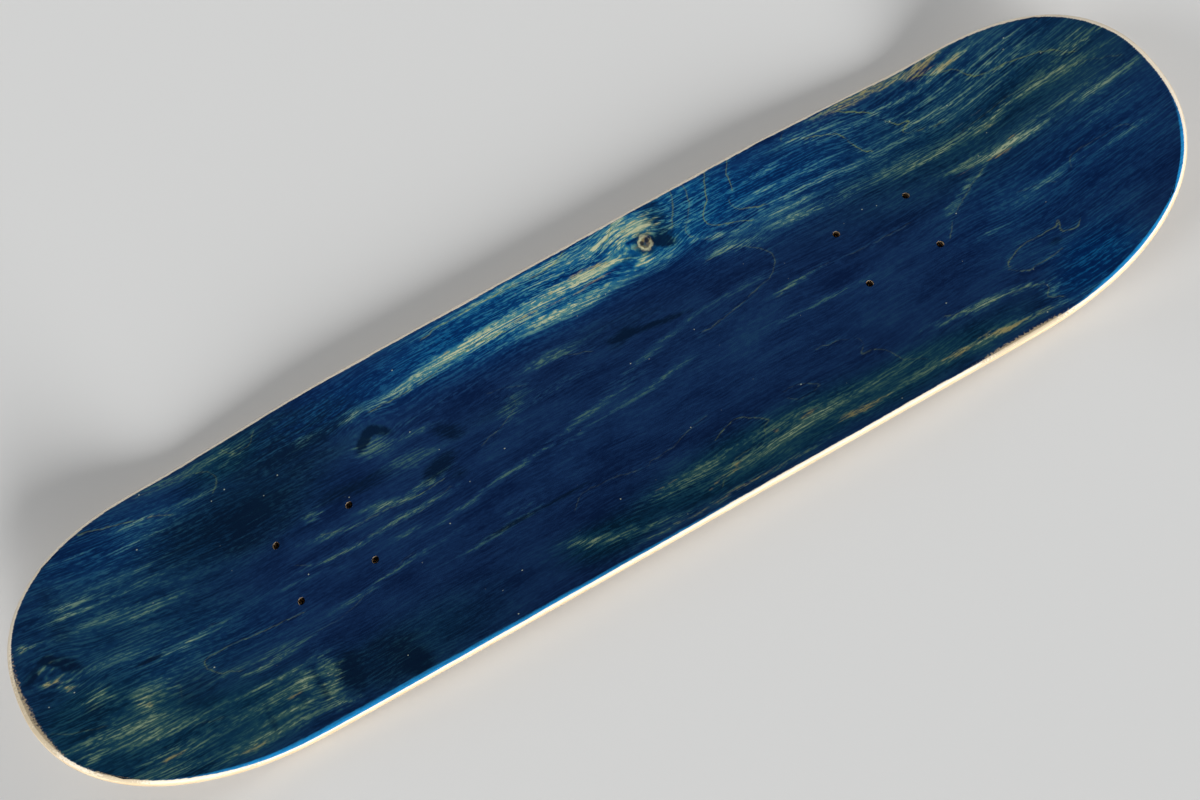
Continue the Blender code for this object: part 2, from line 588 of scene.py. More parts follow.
    def build(self) -> bpy.types.Mesh:
        """Makes the sheet with its eight bolt holes.

        Returns:
            A flat mesh at Z = 0 that faces up. Its "pull" attribute is the way that each point
            gives when the edge is sanded back: 1 long on the edge, and 0 well inside it.
        """
        self._lay_out()
        plan = self._plan()
        pulls = self._pulls(plan)
        wide, high = plan.shape[:2]
        bm = bmesh.new()
        bmesh.ops.create_grid(bm, x_segments=wide - 1, y_segments=high - 1, size=1.0)
        pull = bm.verts.layers.float_vector.new("pull")
        for vert in bm.verts:
            i = round((vert.co.x + 1) / 2 * (wide - 1))
            j = round((vert.co.y + 1) / 2 * (high - 1))
            vert[pull] = pulls[i, j]
            vert.co = (*plan[i, j], 0.0)
        for centre in self.shape.bolts():
            self._drill(bm, Vector((*centre, 0.0)))
        mesh = bpy.data.meshes.new("flat_blank")
        bm.to_mesh(mesh)
        bm.free()
        return mesh

    def _drill(self, bm: bmesh.types.BMesh, centre: Vector) -> None:
        """Cuts a square of cells out round a bolt's centre and closes it in to a round hole.

        Args:
            bm: the flat sheet.
            centre: the bolt's centre.
        """
        radius = self.shape.bolt_hole_radius
        cells = max(2, math.ceil((radius + self.hole_margin) / self.pitch))
        reach = (cells - 0.25) * self.pitch  # takes whole cells only
        inside = []
        for face in bm.faces:
            offset = face.calc_center_median() - centre
            if max(abs(offset.x), abs(offset.y)) < reach:
                inside.append(face)
        cut = dict.fromkeys(edge for face in inside for edge in face.edges)
        rim = [edge for edge in cut if any(face not in inside for face in edge.link_faces)]
        bmesh.ops.delete(bm, geom=inside, context="FACES")
        ring = bmesh.ops.create_circle(
            bm, cap_ends=False, segments=self.hole_sides, radius=radius
        )["verts"]
        bmesh.ops.translate(bm, verts=ring, vec=centre)
        circle = dict.fromkeys(edge for vert in ring for edge in vert.link_edges)
        bmesh.ops.bridge_loops(bm, edges=rim + list(circle))


# Painting the veneer's figure


class Mark(Enum):
    """What a stroke of figure adds to the stained face."""

    PALE = "pale"  # fibres that took little stain
    WARM = "warm"  # tan wood that took none
    POOL = "pool"  # stain gathered dark in open grain
    GLOW = "glow"  # wide zone of brighter blue: lighter stain, with painted highlight beside the left rail and a painted reflection on the nose
    OLIVE = "olive"  # wide zone where the wood shows through greenish
    FLOW = "flow"  # how far the grain swerves to the left rail, in millimetres
    KEPT = "kept"  # stretch of edge whose stain was not sanded off
    SCRAPED = "scraped"  # stretch where the sander ran over the face beside the edge
    RING = "ring"  # thin line of a growth ring


@dataclass(frozen=True)
class Patch:
    """A soft oval of figure, in millimetres from the middle of the wheelbase."""

    x: float
    y: float
    half_length: float
    half_width: float
    strength: float = 1.0
    turn: float = 0.0

    REACH = 1.7
    FALL = 1.5

    def box(self) -> tuple[float, float, float, float]:
        """The part of the deck that it can reach.

        Returns:
            The lowest and the highest X, and the lowest and the highest Y.
        """
        cos, sin = math.cos(math.radians(self.turn)), math.sin(math.radians(self.turn))
        reach_x = self.REACH * math.hypot(self.half_length * cos, self.half_width * sin)
        reach_y = self.REACH * math.hypot(self.half_length * sin, self.half_width * cos)
        return self.x - reach_x, self.x + reach_x, self.y - reach_y, self.y + reach_y

    def cover(self, x: np.ndarray, y: np.ndarray) -> np.ndarray:
        """How much of the patch lies on each point.

        Args:
            x: the points' X.
            y: the points' Y.

        Returns:
            The cover of each point, from 0 to the patch's strength.
        """
        cos, sin = math.cos(math.radians(self.turn)), math.sin(math.radians(self.turn))
        along = (x - self.x) * cos + (y - self.y) * sin
        across = (y - self.y) * cos - (x - self.x) * sin
        away = (along / self.half_length) ** 2 + (across / self.half_width) ** 2
        return self.strength * np.exp(-(away**self.FALL))


@dataclass(frozen=True)
class Line:
    """A thin line of figure through a few points, in millimetres."""

    points: tuple[tuple[float, float], ...]
    strength: float = 1.0
    half_width: float = 1.1

    REACH = 2.6
    LEAST_WIDTH = 1.6
    FAR = 99.0

    def box(self) -> tuple[float, float, float, float]:
        """The part of the deck that it can reach.

        Returns:
            The lowest and the highest X, and the lowest and the highest Y.
        """
        xs, ys = zip(*self.points)
        margin = self.REACH * max(self.half_width, self.LEAST_WIDTH)
        return min(xs) - margin, max(xs) + margin, min(ys) - margin, max(ys) + margin

    def offset(self, x: np.ndarray, y: np.ndarray) -> np.ndarray:
        """How far each point is from the line.

        Args:
            x: the points' X.
            y: the points' Y.

        Returns:
            The distance of each point, negative on the line's right-hand side.
        """
        nearest = np.full(x.shape, self.FAR)
        path = self._smooth()
        for (ax, ay), (bx, by) in zip(path, path[1:]):
            dx, dy = bx - ax, by - ay
            share = np.clip(((x - ax) * dx + (y - ay) * dy) / (dx * dx + dy * dy), 0, 1)
            away = np.hypot(x - ax - share * dx, y - ay - share * dy)
            side = np.where(dx * (y - ay) - dy * (x - ax) < 0, -away, away)
            nearest = np.where(away < np.abs(nearest), side, nearest)
        return nearest

    def cover(self, x: np.ndarray, y: np.ndarray) -> np.ndarray:
        """How much of the line lies on each point, from 0 to its strength."""
        return self.strength * np.exp(-0.5 * (self.offset(x, y) / self.half_width) ** 2)

    def _smooth(self, steps: int = 4) -> list[tuple[float, float]]:
        """Draws a smooth curve through the points.

        Args:
            steps: how many pieces each stretch between two points gets.

        Returns:
            The points of the curve.
        """
        points = np.array([self.points[0], *self.points, self.points[-1]], float)
        path = []
        for p0, p1, p2, p3 in zip(points, points[1:], points[2:], points[3:]):
            for step in range(steps):
                t = step / steps
                path.append(tuple(
                    0.5 * (2 * p1 + (p2 - p0) * t + (2 * p0 - 5 * p1 + 4 * p2 - p3) * t**2
                           + (3 * p1 - p0 - 3 * p2 + p3) * t**3)
                ))
        return path + [tuple(points[-1])]


def patches(*rows: tuple[float, ...]) -> tuple[Patch, ...]:
    """Makes patches.

    Args:
        rows: X, Y, half length, half width, and strength and turn where they aren't 1 and 0.

    Returns:
        One patch for each row.
    """
    return tuple(Patch(*row) for row in rows)


FIGURE: dict[Mark, tuple[Patch | Line, ...]] = {
    Mark.FLOW: patches(
        (-45, 76, 90, 26, 6), (66, 94, 22, 13, 7), (72, 66, 26, 12, -5), (-150, 67, 18, 10, 4),
        (-150, 47, 20, 10, -4), (-60, -5, 90, 30, 4), (130, 30, 60, 34, 4), (20, -86, 60, 20, -5),
        (-388, 20, 22, 14, 4), (-388, -8, 22, 14, -5), (-270, -60, 50, 25, 4), (270, 70, 60, 30, -5),
        (250, -70, 60, 26, 5),
    ),
    Mark.KEPT: patches(
        (-225, -108, 130, 22, 1.1), (-40, -108, 70, 22, 0.4), (352, -84, 75, 26, 1, 35),
    ),
    Mark.SCRAPED: patches(
        (-400, -10, 14, 44), (-374, -76, 30, 16, 1, -45), (-330, -104, 50, 10, 0.9),
        (380, 74, 30, 14, 0.8, -45), (250, -104, 60, 7), (250, 104, 60, 7, 0.5),
    ),
    # zones of brighter blue: partly lighter stain, partly painted highlight where the left rail tilts to
    # the light; the spot at (310, -84) is a painted reflection on the nose
    Mark.GLOW: patches(
        (-20, 84, 130, 26, 0.9), (60, 90, 70, 22, 0.8), (140, 78, 80, 34, 0.42), (280, 68, 130, 34, 0.45),
        (330, -20, 80, 50, 0.35), (310, -84, 30, 20, 0.75, 10), (-350, 20, 60, 60, 0.3),
        (-320, 72, 60, 22, 0.35), (-300, -20, 60, 22, 0.2), (-195, 86, 55, 16, 0.35),
    ),
    Mark.OLIVE: patches(
        (60, -82, 90, 17, 0.8), (190, -88, 80, 14, 0.6), (-50, -84, 30, 12, 0.6, -12),
        (-180, -85, 60, 22, 0.35), (-250, 55, 60, 30, 0.35), (-350, -10, 75, 95, 0.4),
        (310, 48, 120, 46, 0.5, -3), (-240, 92, 40, 14, 0.5), (-300, -75, 70, 24, 0.5),
        (-365, -45, 36, 26, 0.5, -20),
    ),
    Mark.PALE: patches(
        # bright streaks beside the left rail, up to the knot
        (-108, 74, 42, 4.5, 1, 3), (-62, 77, 32, 5, 0.9, 4), (-30, 77, 40, 4, 0.8, -3),
        (8, 81, 40, 3.8, 1.05, -1), (34, 78, 20, 3), (15, 65, 58, 4.5), (-18, 70, 40, 3, 0.8, -9),
        (-25, 99, 62, 2.6, 0.75, 1), (10, 92, 50, 3, 0.5, 3), (48, 96, 22, 3.2, 0.7, 28),
        (58, 88, 16, 3, 0.5, 30), (70, 93, 12, 3.8, 1, -8), (75, 92, 6, 4, 0.9, -20),
        (63, 70, 5, 3, 1.3, 20), (80, 64, 12, 3, 0.5, 30),
        # curl between the knot and the nose
        (151, 73, 16, 1.5, 0.9), (178, 61, 42, 2, 0.9, -3), (165, 54, 36, 2.6, 0.7, -4),
        (190, 70, 30, 2.5, 0.5), (168, 45, 26, 3.2, 0.9, -10), (122, 47, 20, 3, 0.9, -12),
        (108, 63, 18, 2.5, 0.6, -25), (118, 59, 20, 2, 0.5, -20), (170, 84, 20, 2.5, 0.6),
        (205, 92, 26, 3.5, 0.8, -5), (222, 84, 22, 2.5, 0.7, -8),
        # nose
        (250, 99, 48, 5, 1, -2), (300, 97, 20, 3.5, 1.1, 4), (270, 83, 30, 2.4, 0.9),
        (312, 86, 15, 3.6, 1.25), (326, 61, 30, 2.6, 0.55), (318, 53, 28, 2, 0.55),
        (346, 65, 22, 1.6, 0.55), (362, 42, 22, 4, 0.45), (284, 72, 22, 1.4, 0.6),
        (290, 62, 26, 2, 0.8, -4), (232, 57, 50, 2, 0.55, -3), (230, 42, 60, 3.5, 0.6, -2),
        (262, 35, 22, 2.4), (298, 37, 34, 2, 0.7), (309, 33, 9, 3, 1.2), (345, 36, 34, 3, 0.75, -3),
        (365, 31, 26, 2.6, 0.6, -4), (375, 10, 24, 3.6, 0.9, -3), (350, 17, 30, 3, 0.5),
        (298, 16, 32, 3.6, 1.1, -8), (322, 12, 22, 2.8, 0.8, -6), (280, 6, 9, 2, 0.9, 28),
        (261, -3, 11, 2.2, 0.8, 25), (340, 74, 22, 1.6, 0.8), (332, 68, 18, 1.8, 0.8),
        (300, 75, 28, 1.6, 0.5), (375, 48, 12, 3, 0.7), (382, 41, 12, 2.4), (275, -31, 13, 1.2, 0.8),
        (318, -22, 30, 1.8, 0.55, 2), (368, -4, 20, 3, 0.45), (370, -25, 26, 1.6, 0.5, -2),
        # right rail
        (218, -68, 20, 2, 0.7, -5), (242, -71, 18, 2.8, 0.9, -5), (268, -75, 12, 1.6, 0.8, -14),
        (282, -84, 6, 4.5, 0.6, 40), (222, -91, 24, 3.4, 0.8), (260, -94, 36, 2.4, 0.9, -3),
        (190, -91, 26, 3, 0.6), (140, -92, 26, 3, 0.7), (18, -76, 34, 5, 0.9), (60, -84, 34, 4, 0.75, 3),
        (95, -74, 40, 3.2, 0.7, -2), (105, -82, 30, 3.6, 0.7), (140, -80, 40, 3, 0.5),
        (-64, -77, 10, 3, 0.9, -25), (-48, -84, 18, 3.6, 0.9, -16), (-18, -92, 26, 2.4, 0.8, -8),
        (40, -98, 80, 1.7, 0.9),
        # middle
        (-150, 46, 13, 6, 0.8, -14), (-122, 43, 16, 2.4, 0.6, -8), (-138, 28, 20, 7, 0.55),
        (-130, 8, 15, 2.6, 0.95, 2), (-164, 9, 14, 2.8, 1, -12), (-150, 4, 20, 1.6, 0.6, -5),
        (-158, -5, 42, 1.8, 0.9, 1), (-157, -16, 10, 1.6, 0.8), (-76, -13, 62, 2.2, 0.75, 7),
        (-6, -2, 42, 1.8, 0.5, 8), (35, -9, 26, 1.6, 0.75, 6), (-10, -12, 40, 1.6, 0.45, 6),
        (-20, 42, 24, 3.6, 0.75, -2), (-58, 26, 12, 7, 0.5, 50), (-30, 22, 24, 3, 0.5),
        (-112, 52, 50, 1.8, 0.35), (40, 12, 40, 2.4, 0.5, 12), (145, 5, 18, 1.5, 0.9, 3),
        (150, -15, 32, 1.6, 0.7, -3), (110, 20, 26, 3.2, 0.35), (-178, -34, 48, 1.8, 0.65, 5),
        (-102, -45, 28, 1.6, 0.9, 2), (-86, -38.5, 14, 1, 0.8),
        # tail
        (-366, 42, 13, 2.6, 1, 2), (-365, 36, 12, 2, 0.9), (-335, 38, 34, 2, 0.5, 3),
        (-350, 25, 24, 2.8, 0.6), (-322, 20, 20, 3, 0.6, 6), (-318, 66, 16, 2.4, 0.8, 5),
        (-312, 78, 14, 1.8, 0.9, 2), (-272, 77, 16, 1.4, 0.8), (-330, 47, 30, 1.3, 0.5, 4),
        (-360, 72, 14, 1.3, 0.6), (-396, 27, 5, 3.2, 1.2), (-387, 1, 8, 2.4, 1.3, 2),
        (-382, -6, 4, 4.5, 1.1, 20), (-385, 10, 1.2, 7, 0.9), (-366, -20, 5, 6),
        (-344, -34, 5, 10, 1, -24), (-332, -30, 4, 7, 0.6, 15), (-364, -46, 30, 4, 0.9, -4),
        (-378, -53, 6, 4, 0.9), (-345, -56, 30, 4, 0.7, -6), (-340, -71, 22, 4.5, 0.9, -4),
        (-350, -80, 24, 4, 0.8, -10), (-300, -88, 24, 4, 0.8), (-268, -46, 20, 2, 1.2, 3),
        (-275, -41, 24, 1.4, 0.7), (-272, -58, 34, 1.8, 1.1, -1), (-275, -68, 30, 5, 0.8),
        (-268, -80, 26, 2.4), (-262, -88, 28, 4, 0.7), (-241, -74, 5, 18, 1.2),
        (-258, -68, 4, 8, 1.1, 10), (-238, -93, 12, 3, 0.8, -6), (-266, 96, 34, 3, 0.8),
        (-238, 90, 12, 1.6, 0.8, 15), (-206, 26, 5, 5, 0.9, 60), (-200, 8, 22, 1.8, 0.8, -10),
        (-205, -5, 30, 1.6, 0.7, -3), (-192, 76, 10, 4, 0.5), (-155, 72, 8, 4, 0.7, 30),
        (-232, -10, 22, 1.8, 0.4, -8), (-310, -11, 26, 1.8, 0.7, 3), (-358, -2, 24, 3, 0.4),
    ) + (
        Line(((60, 83), (63, 89), (69, 92), (76, 91), (79, 87)), 1, 1.5),
        Line(((54, 84), (58, 93), (66, 98), (74, 99), (79, 98)), 0.8, 1.3),
        Line(((48, 88), (54, 98), (66, 104)), 0.6, 1.3),
    ),
    Mark.WARM: patches(
        # beside the left rail and round the knot
        (22, 73.5, 26, 0.9), (-16, 75, 18, 0.9, 0.9, -4), (-82, 79.5, 5, 1.2, 1, -10),
        (30, 83, 18, 2, 0.5, -2), (68, 91, 8, 3, 0.5, 10), (72, 80, 5, 5, 0.7),
        # nose
        (250, 99, 44, 5, 0.8, -2), (300, 97, 16, 3, 0.8, 4), (313, 86, 12, 3.2, 0.9),
        (296, 92, 10, 3.4, 0.7), (309, 33, 7, 2.4, 0.7), (302, 12, 10, 1.8, 1, -10),
        (280, 15, 12, 0.9, 0.8), (318, 16, 5, 1, 0.9, -8), (300, 45, 16, 0.9, 0.6),
        # right rail
        (135, -92, 24, 2.6, 0.9), (205, -91, 12, 2.6, 0.9), (232, -91, 14, 3, 0.9, -12),
        (104, -77, 8, 1.8, 0.9, -6), (78, -76, 5, 1.4, 0.8, 30), (45, -85, 9, 1.6, 0.9, 24),
        (32, -88, 6, 1.4, 0.8, 30), (5, -72, 12, 1, 0.6), (40, -98, 70, 1.5, 0.7),
        # tail
        (-386, 0, 7, 3, 0.9), (-382, -8, 3, 3, 0.9), (-396, 27, 5, 3, 0.6), (-344, -36, 3, 7, 0.7, -20),
        (-266, -72, 6, 1.6, 0.9), (-300, -90, 14, 2.4, 0.6), (-345, -73, 10, 2.4, 0.7),
        (-296, 77, 5, 1.4, 0.8, -20), (-242, -74, 3, 14, 0.5),
        # nose, at the right rail
        (262, -94, 30, 1.8, 0.5, -3),
    ) + (
        Line(((56, 86), (60, 93), (68, 97), (78, 97)), 0.9, 1),
        Line(((-10, 79), (8, 83), (24, 84), (40, 81), (46, 79)), 0.8, 0.9),
    ),
    Mark.POOL: patches(
        # tail half
        (-275, 52, 42, 17, 1, -8), (-225, 45, 60, 30, 0.55), (-157, 54, 8, 3.2, 1, 38),
        (-143, 54, 8, 3.2, 1, -38), (-150, 58, 5, 3, 0.8), (-172, 29, 26, 6, 0.9, -6),
        (-120, 13, 15, 7, 1.1, 12), (-106, 33, 12, 6, 0.8, -40), (-112, 2, 8, 6, 0.6),
        (-205, -80, 30, 22, 0.7), (-186, -94, 10, 8, 0.7, -30), (-228, -72, 8, 20, 0.7),
        # beside the knot and over the middle
        (83, 75, 10, 4, 0.7, -35), (85, 92, 9, 18, 0.42), (96, 84, 22, 22, 0.22), (56, 76, 6, 2.5, 0.5),
        (44, 28, 32, 2.4, 1, -9), (24, 29, 12, 5, 0.5, 20), (-76, -45, 50, 1.5, 1.2, -1),
        # tail end
        (-335, -11.5, 9, 1.3, 1.4), (-395, 8, 8, 3.4, 1.2, 35), (-376, 7, 10, 4.6, 1.3, -42),
        (-385, 15, 4, 3, 1.2), (-373, 40, 8, 28, 0.45), (-371, -28, 6, 8, 0.8), (-318, -42, 14, 16, 0.45),
        (-249, -74, 3, 17, 0.5, 6), (-285, -78, 3, 14, 0.35), (-262, -76, 3, 9, 0.35),
        # faint ones elsewhere
        (300, -58, 5, 3, 0.6), (180, 92, 12, 6, 0.4), (130, 95, 6, 10, 0.25), (-70, 32, 40, 10, 0.35, -5),
        (30, 40, 60, 10, 0.4, -4), (-195, 84, 60, 20, 0.75),
    ),
    Mark.RING: (
        Line(((-145, 70), (-122, 69.5), (-100, 71), (-80, 74), (-60, 75), (-40, 73))),
        Line(((-92, 96), (-78, 98), (-40, 98.5), (0, 97), (14, 99), (24, 103))),
        Line(((44, 92), (50, 95), (56, 100), (60, 105)), 0.9),
        Line(((92, 80), (96, 87), (100, 92), (104, 103)), 0.8),
        Line(((114, 104), (112, 92), (106, 82), (100, 75), (101, 68), (108, 62), (118, 59)), 0.8),
        Line(((132, 104), (126, 95), (123, 86), (116, 79), (114, 73), (118, 67), (130, 63), (142, 58))),
        Line(((150, 104), (144, 95), (141, 83), (135, 77), (138, 70), (148, 65), (155, 63))),
        Line(((193, 104), (188, 97), (190, 94)), 0.7),
        Line(((195, 94), (210, 88), (222, 84), (226, 78), (228, 71), (233, 62), (236, 60)), 1.3),
        Line(((232, 97), (244, 90), (252, 84), (256, 76), (262, 68), (270, 66), (262, 61), (275, 56),
              (288, 53)), 1.5),
        Line(((290, 93), (300, 86), (312, 80), (316, 73), (323, 65), (336, 61), (350, 56), (362, 50),
              (367, 42), (372, 39)), 1.2),
        Line(((100, 48), (118, 48), (130, 43), (139, 35), (141, 28), (135, 19), (120, 14), (98, 9),
              (70, 5)), 0.7),
        Line(((128, 3), (148, 6), (170, 6), (190, 3), (230, 2)), 0.6),
        Line(((270, 35), (300, 40), (340, 40), (372, 30), (390, 18)), 0.6),
        Line(((246, -20), (258, -8), (268, -2), (282, 6), (292, 10)), 0.7),
        Line(((300, -17), (316, -22), (322, -26), (332, -24), (336, -17), (355, -18), (368, -20),
              (372, -27)), 0.55),
        Line(((266, -58), (270, -53), (285, -49), (304, -50), (308, -48), (307, -56), (316, -58),
              (318, -56)), 0.9),
        Line(((266, -58), (272, -64), (282, -66), (300, -65)), 0.8),
        Line(((213, -65), (230, -70), (255, -73), (272, -76), (280, -81), (276, -86), (283, -92)), 0.8),
        Line(((0, -54), (18, -52), (32, -48), (46, -45)), 0.6),
        Line(((44, -62), (54, -58), (64, -57), (72, -62), (80, -68), (74, -70), (72, -78), (60, -79),
              (48, -80), (40, -86), (32, -91)), 0.8),
        Line(((130, -42), (145, -44), (156, -49), (158, -54), (154, -60), (163, -62), (170, -69),
              (174, -76), (186, -84)), 0.7),
        Line(((98, -57), (108, -57), (116, -61), (120, -65), (104, -66), (98, -62)), 0.6),
        Line(((-22, -51), (-48, -50), (-56, -57)), 0.6),
        Line(((-22, -51), (-12, -54), (-2, -55)), 0.6),
        Line(((-70, 41), (-58, 39), (-46, 34)), 0.5),
        Line(((-66, 36), (-58, 32), (-58, 25), (-70, 18), (-90, 12)), 0.6),
        Line(((-22, 44), (-10, 38), (4, 32)), 0.7),
        Line(((-345, 85), (-325, 82), (-305, 78), (-292, 74)), 0.9),
        Line(((-310, 95), (-285, 95), (-266, 92), (-258, 88), (-256, 80), (-262, 74)), 0.7),
        Line(((-244, 97), (-238, 91), (-226, 91), (-220, 97)), 0.8),
        Line(((-208, 12), (-190, 6), (-170, 6), (-140, 3), (-122, 5)), 0.8),
        Line(((-232, 2), (-215, -5), (-180, -5), (-150, -7), (-120, -2)), 0.6),
        Line(((-308, -30), (-306, -25), (-290, -24), (-265, -26), (-240, -28)), 0.8),
        Line(((-308, -30), (-304, -36), (-296, -40), (-290, -42)), 0.8),
        Line(((-326, -42), (-326, -33), (-332, -25)), 0.5),
        Line(((-395, -30), (-380, -36), (-365, -40), (-350, -50), (-330, -60), (-310, -64)), 0.6),
        Line(((-334, -10), (-318, -11), (-300, -7), (-285, -8)), 0.5),
        Line(((-244, -44), (-215, -42), (-190, -35), (-160, -29)), 0.5),
    ),
}


class FigurePainter:
    """Paints the figure on a veneer's mesh, one attribute for each mark."""

    FRAYED = (Mark.PALE, Mark.WARM, Mark.GLOW, Mark.OLIVE)
    FULL = 1.5
    RING_REACH = 2.4
    FAR = 9.0

    def __init__(self, mesh: bpy.types.Mesh, x: np.ndarray, y: np.ndarray) -> None:
        """Keeps the mesh's plan coordinates and frays them, so that strokes end raggedly.

        Args:
            mesh: the veneer.
            x: its points' X.
            y: its points' Y.
        """
        self.mesh = mesh
        self.plain = (x / MM, y / MM)
        x, y = self.plain
        # Neighbouring fibres end up to 11 mm apart, and long strokes waver a little.
        ragged = 3.2 * np.sin(1.27 * y + 0.011 * x) + 2.4 * np.sin(2.33 * y + 1.1 + 0.02 * x)
        self.x = x + ragged + 2.5 * np.sin(0.21 * y + 0.05 * x)
        self.y = y + 0.5 * np.sin(0.09 * x + 0.4) + 0.3 * np.sin(0.29 * x + 0.13 * y)

    @staticmethod
    def _near(stroke: Patch | Line, x: np.ndarray, y: np.ndarray) -> np.ndarray:
        """The numbers of the points that a stroke can reach."""
        low_x, high_x, low_y, high_y = stroke.box()
        return np.flatnonzero((x > low_x) & (x < high_x) & (y > low_y) & (y < high_y))

    def paint(self) -> None:
        """Adds every mark's cover to the mesh."""
        for mark, strokes in FIGURE.items():
            if mark is Mark.RING:
                self._paint_rings(strokes)
                continue
            x, y = (self.x, self.y) if mark in self.FRAYED else self.plain
            cover = np.zeros(len(x))
            for stroke in strokes:
                near = self._near(stroke, x, y)
                cover[near] += stroke.cover(x[near], y[near])
            self.store(mark.value, cover if mark is Mark.FLOW else np.minimum(cover, self.FULL))

    def _paint_rings(self, lines: Iterable[Line]) -> None:
        """Stores how far each point is from the nearest ring line, and how strong that line is.

        Args:
            lines: the ring lines.
        """
        x, y = self.plain
        nearest = np.full(len(x), self.FAR)
        strength = np.zeros(len(x))
        for line in lines:
            near = self._near(line, x, y)
            offset = line.offset(x[near], y[near])
            closer = np.abs(offset) < np.abs(nearest[near])
            chosen = near[closer]
            nearest[chosen] = offset[closer]
            strength[chosen] = line.strength * np.exp(-((offset[closer] / self.RING_REACH) ** 2))
        self.store(Mark.RING.value, strength)
        self.store("ring_side", nearest)

    def store(self, name: str, values: np.ndarray) -> None:
        """Stores one number for each point of the mesh."""
        attribute = self.mesh.attributes.new(name, "FLOAT", "POINT")
        attribute.data.foreach_set("value", values.astype(np.float32))


# Finishes


class Slot(Enum):
    """The record's material slots."""

    STAINED = "stained_blue_maple"
    LONG = "long_grain_maple"
    CROSS = "cross_grain_maple"
    CLEAR = "clear_finished_maple"


class StainGrain:
    """The stained face's grain and painted marks, as the numbers that its finish is mixed from."""

    def __init__(self, graph: Graph) -> None:
        """Lays the noises along the bent grain and reads the marks.

        Args:
            graph: the finish's graph.
        """
        self.graph = graph
        self.marks = {mark: graph.painted(mark.value) for mark in Mark}
        self.place = graph.place()
        drift = graph.swing(self.place, (9, 16, 1))
        grain = graph.bent(self.place, drift * 0.012 - self.marks[Mark.FLOW] * MM, (0, 1, 0))
        self.fibre = graph.swing(grain, (200, 860, 1), 2.0, 0.6)
        self.strand = graph.swing(grain, (42, 380, 1), 2.0, 0.6, (3, 0, 0))
        self.hair = graph.swing(grain, (30, 950, 1), 1.0, 0.5, (0, 0.3, 5))
        self.band = graph.swing(grain, (7, 90, 1), 4.0, 0.65, (0, 7, 0))
        self.cloud = graph.swing(self.place, (14, 30, 1), 4.0, 0.6)
        self.streak = self.fibre * 3.6 + self.strand * 1.2 + self.hair * 2.2
        self.crisp = (self.hair + self.fibre * 0.7).rise(0.02, 0.09) - 0.3
        zigzag = graph.swing(self.place, (110, 110, 1), shift=(4, 0, 0))
        self.ring_side = graph.painted("ring_side") + zigzag * 4.0 + self.fibre * 1.6


